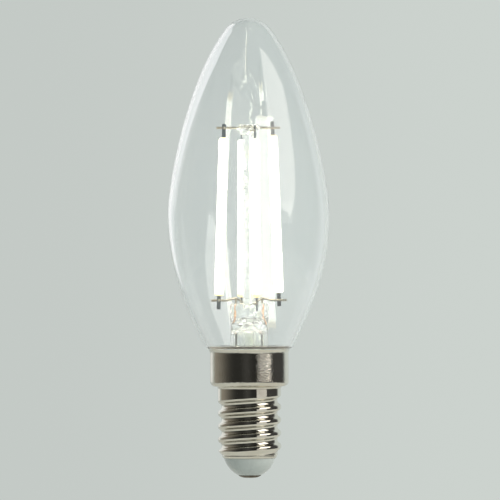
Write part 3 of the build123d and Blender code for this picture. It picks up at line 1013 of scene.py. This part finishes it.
@dataclass
class Backdrop:
    """The world round the bulb: a pale backdrop behind it and shade in front of it.

    Edges and reaches are parts of a direction of length 1, along X, Y or Z.
    """

    pale_left: Colour = (0.552, 0.591, 0.565)
    pale_right: Colour = (0.604, 0.649, 0.617)
    pale_reach: float = 0.034
    back_edge: Span = (0.5, 0.68)
    floor_edge: Span = (-0.22, -0.32)
    front_shade: Colour = (0.03, 0.0295, 0.027)
    front_glimmer: Colour = (0.06, 0.059, 0.056)
    glimmer_centre: float = -0.13
    glimmer_reach: float = 0.36
    right_shade: Colour = (0.063, 0.062, 0.06)
    right_edge: Span = (0.5, 0.8)
    left_shade: Colour = (0.36, 0.33, 0.28)
    left_edge: Span = (-0.3, -0.8)
    left_fade: Span = (-0.75, 0.8)
    fill_left: Colour = (0.32, 0.34, 0.33)
    fill_right: Colour = (0.66, 0.68, 0.67)
    fill_reach: float = 0.9

    def build(self) -> None:
        """Make the world.

        Seen directly or through glass it is the pale backdrop, which blends from left to right. In
        reflections it is the backdrop behind and below and shade in front, with a glimmer near the
        middle and a paler shade at either side. For diffuse light it is a fill, brighter at the right.
        """
        world = bpy.data.worlds.new("studio")
        world.use_nodes = True
        bpy.context.scene.world = world
        graph = Graph(world.node_tree)
        direction = graph.node("ShaderNodeTexCoord").outputs["Generated"]
        x, y, z = graph.node("ShaderNodeSeparateXYZ", vector=direction).outputs

        across = graph.ramp(x, (-self.pale_reach, self.pale_reach))
        pale = graph.mix_colours(across, self.pale_left, self.pale_right)
        behind = graph.ramp(y, self.back_edge)
        below = graph.ramp(z, self.floor_edge)

        aside = graph.math("ABSOLUTE", graph.math("SUBTRACT", x, self.glimmer_centre))
        glimmer = graph.ramp(aside, (0.0, self.glimmer_reach), (1.0, 0.0))
        middle = graph.mix_colours(glimmer, self.front_shade, self.front_glimmer)
        front = graph.mix_colours(graph.ramp(x, self.right_edge), middle, self.right_shade)
        to_left = graph.math("MULTIPLY", graph.ramp(x, self.left_edge), graph.ramp(y, self.left_fade))
        shade = graph.mix_colours(to_left, front, self.left_shade)
        surroundings = graph.mix_colours(graph.math("MAXIMUM", behind, below), shade, pale)

        to_right = graph.ramp(x, (-self.fill_reach, self.fill_reach))
        fill = graph.mix_colours(to_right, self.fill_left, self.fill_right)
        path = graph.node("ShaderNodeLightPath").outputs
        unseen = graph.mix_colours(path["Is Diffuse Ray"], surroundings, fill)
        seen = graph.math("MAXIMUM", path["Is Camera Ray"], path["Is Transmission Ray"])
        colour = graph.mix_colours(seen, unseen, pale)
        background = graph.node("ShaderNodeBackground", color=colour)
        graph.node("ShaderNodeOutputWorld", surface=background.outputs[0])


@dataclass
class Floor:
    """A pale floor under the bulb that fades out with distance from its axis."""

    depth: float = 0.06
    radius: float = 0.42
    solid_share: float = 0.3
    colour: Colour = (0.62, 0.65, 0.63)
    stain: Colour = (0.58, 0.61, 0.59)
    reflected: Colour = (0.92, 0.91, 0.85)
    roughness: float = 0.8
    patch_scale: float = 14.0
    patch_detail: float = 3.0
    rings: int = 24
    segments: int = 96

    def build(self) -> bpy.types.Object:
        """Make the floor: a disc of rings (r cos a, r sin a) at even radii r, closed by a fan.

        Returns:
            The floor.
        """
        radii = np.linspace(0.0, self.radius, self.rings + 1)[1:]
        turn = np.linspace(0.0, 2 * pi, self.segments, endpoint=False)
        x, y = radii[:, None] * np.cos(turn), radii[:, None] * np.sin(turn)
        grid = np.stack([x, y, np.full_like(x, -self.depth)], axis=2).reshape(-1, 3)
        index, beside, quads = join_rings(self.rings, self.segments)
        fan = np.stack([np.full(self.segments, len(grid)), index[0], beside[0]], axis=1)
        vertices = np.concatenate([grid, [-self.depth * UP]])
        floor = make_piece("floor", vertices, quads.tolist() + fan.tolist())
        floor.data.materials.append(self.material())
        return floor

    def material(self) -> bpy.types.Material:
        """Make the floor's finish: slightly patchy, paler in reflections and clear at the edge.

        Returns:
            The finished material.
        """
        material = bpy.data.materials.new("floor")
        material.use_nodes = True
        graph = Graph(material.node_tree)
        place = graph.place()
        flat = graph.node(
            "ShaderNodeVectorMath", {"operation": "MULTIPLY"}, in_0=place, in_1=(1.0, 1.0, 0.0)
        )
        reach = graph.node("ShaderNodeVectorMath", {"operation": "LENGTH"}, in_0=flat.outputs[0])
        noise = graph.noise(place, self.patch_scale, self.patch_detail)
        patchy = graph.mix_colours(noise, self.colour, self.stain)
        path = graph.node("ShaderNodeLightPath").outputs
        colour = graph.mix_colours(path["Is Glossy Ray"], patchy, self.reflected)
        fade = (self.solid_share * self.radius, self.radius)
        alpha = graph.ramp(reach.outputs["Value"], fade, (1.0, 0.0))
        shader = graph.node(
            "ShaderNodeBsdfPrincipled", base_color=colour, roughness=self.roughness, alpha=alpha
        )
        graph.node("ShaderNodeOutputMaterial", surface=shader.outputs[0])
        return material


@dataclass
class Studio:
    """What stands round the bulb: the backdrop, the floor and soft lamps."""

    backdrop: Backdrop = field(default_factory=Backdrop)
    floor: Floor = field(default_factory=Floor)
    lights: tuple[StudioLight, ...] = (
        StudioLight(
            "softbox",
            bearing=59.0,
            elevation=28.0,
            width=0.41,
            height=0.52,
            radiance=2.4,
            colour=(1.0, 0.94, 0.86),
            turn=34.0,
        ),
        StudioLight(
            "softbox_foot",
            bearing=46.2,
            elevation=3.2,
            width=1.08,
            height=0.35,
            radiance=0.7,
            colour=(1.0, 0.96, 0.9),
            distance=1.5,
        ),
        StudioLight(
            "left_back_panel",
            bearing=-145.0,
            elevation=17.0,
            width=0.42,
            height=0.54,
            radiance=0.38,
            colour=(1.0, 0.93, 0.97),
            turn=36.0,
        ),
        StudioLight(
            "right_back_strip",
            bearing=140.0,
            elevation=5.0,
            width=0.46,
            height=0.9,
            radiance=0.07,
        ),
    )

    def build(self) -> None:
        """Make the world, the floor and the lamps round the bulb."""
        self.backdrop.build()
        self.floor.build()
        for light in self.lights:
            light.build()
            log.info("lamp %s", light.name)


@dataclass
class PhotoCamera:
    """A level camera that frames the bulb as the photograph does."""

    frame_side: float = 108.0 * MM
    distance: float = 1.6
    aim_x: float = 0.26 * MM
    aim_z: float = 49.2 * MM
    roll: float = 0.25
    sensor: float = 36.0
    clip: Span = (0.01, 20.0)

    def build(self) -> bpy.types.Object:
        """Make the camera: its lens fits the frame's side at the bulb's distance.

        Returns:
            The camera, in use.
        """
        data = bpy.data.cameras.new("camera")
        data.sensor_width = self.sensor
        half_angle = atan(self.frame_side / 2 / self.distance)
        data.lens = self.sensor / 2 / tan(half_angle)
        data.clip_start, data.clip_end = self.clip
        camera = bpy.data.objects.new("camera", data)
        camera.location = (self.aim_x, -self.distance, self.aim_z)
        camera.rotation_euler = (radians(90.0), radians(self.roll), 0.0)
        bpy.context.scene.collection.objects.link(camera)
        bpy.context.scene.camera = camera
        return camera


def set_view() -> None:
    """Set the plain view transform and the path lengths that nested glass walls need."""
    scene = bpy.context.scene
    scene.view_settings.view_transform = "Standard"
    for name, limit in PATH_LIMITS.items():
        setattr(scene.cycles, name, limit)


def dress_nodes(frame: dict, materials: dict[str, bpy.types.Material]) -> None:
    """Give each node the finish of its slot in the record.

    Args:
        frame: What the frame loader returned.
        materials: Materials by slot name.
    """
    for subpart in frame["record"]["subparts"]:
        node = frame["nodes"][subpart["node"]]
        node.data.materials.clear()
        node.data.materials.append(materials[subpart["material_slot"]])
        log.info("node %s in %s", subpart["node"], subpart["material_slot"])


def main() -> None:
    """Load the frame, dress it, add the new pieces and set the studio round them."""
    logging.basicConfig(level=logging.INFO, format="%(name)s: %(message)s")
    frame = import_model()
    effects = Effects()
    materials = {finish.slot.value: finish.build(effects) for finish in FINISHES}
    dress_nodes(frame, materials)
    glass = GlassEnvelope().build(materials[Slot.CLEAR_GLASS.value])
    beads = WeldBeads().build(materials[Slot.NICKEL_WIRE.value])
    for piece in (glass, beads):
        log.info("piece %s with %d faces", piece.name, len(piece.data.polygons))
    PhotoCamera().build()
    Studio().build()
    set_view()


if __name__ == "__main__":
    main()
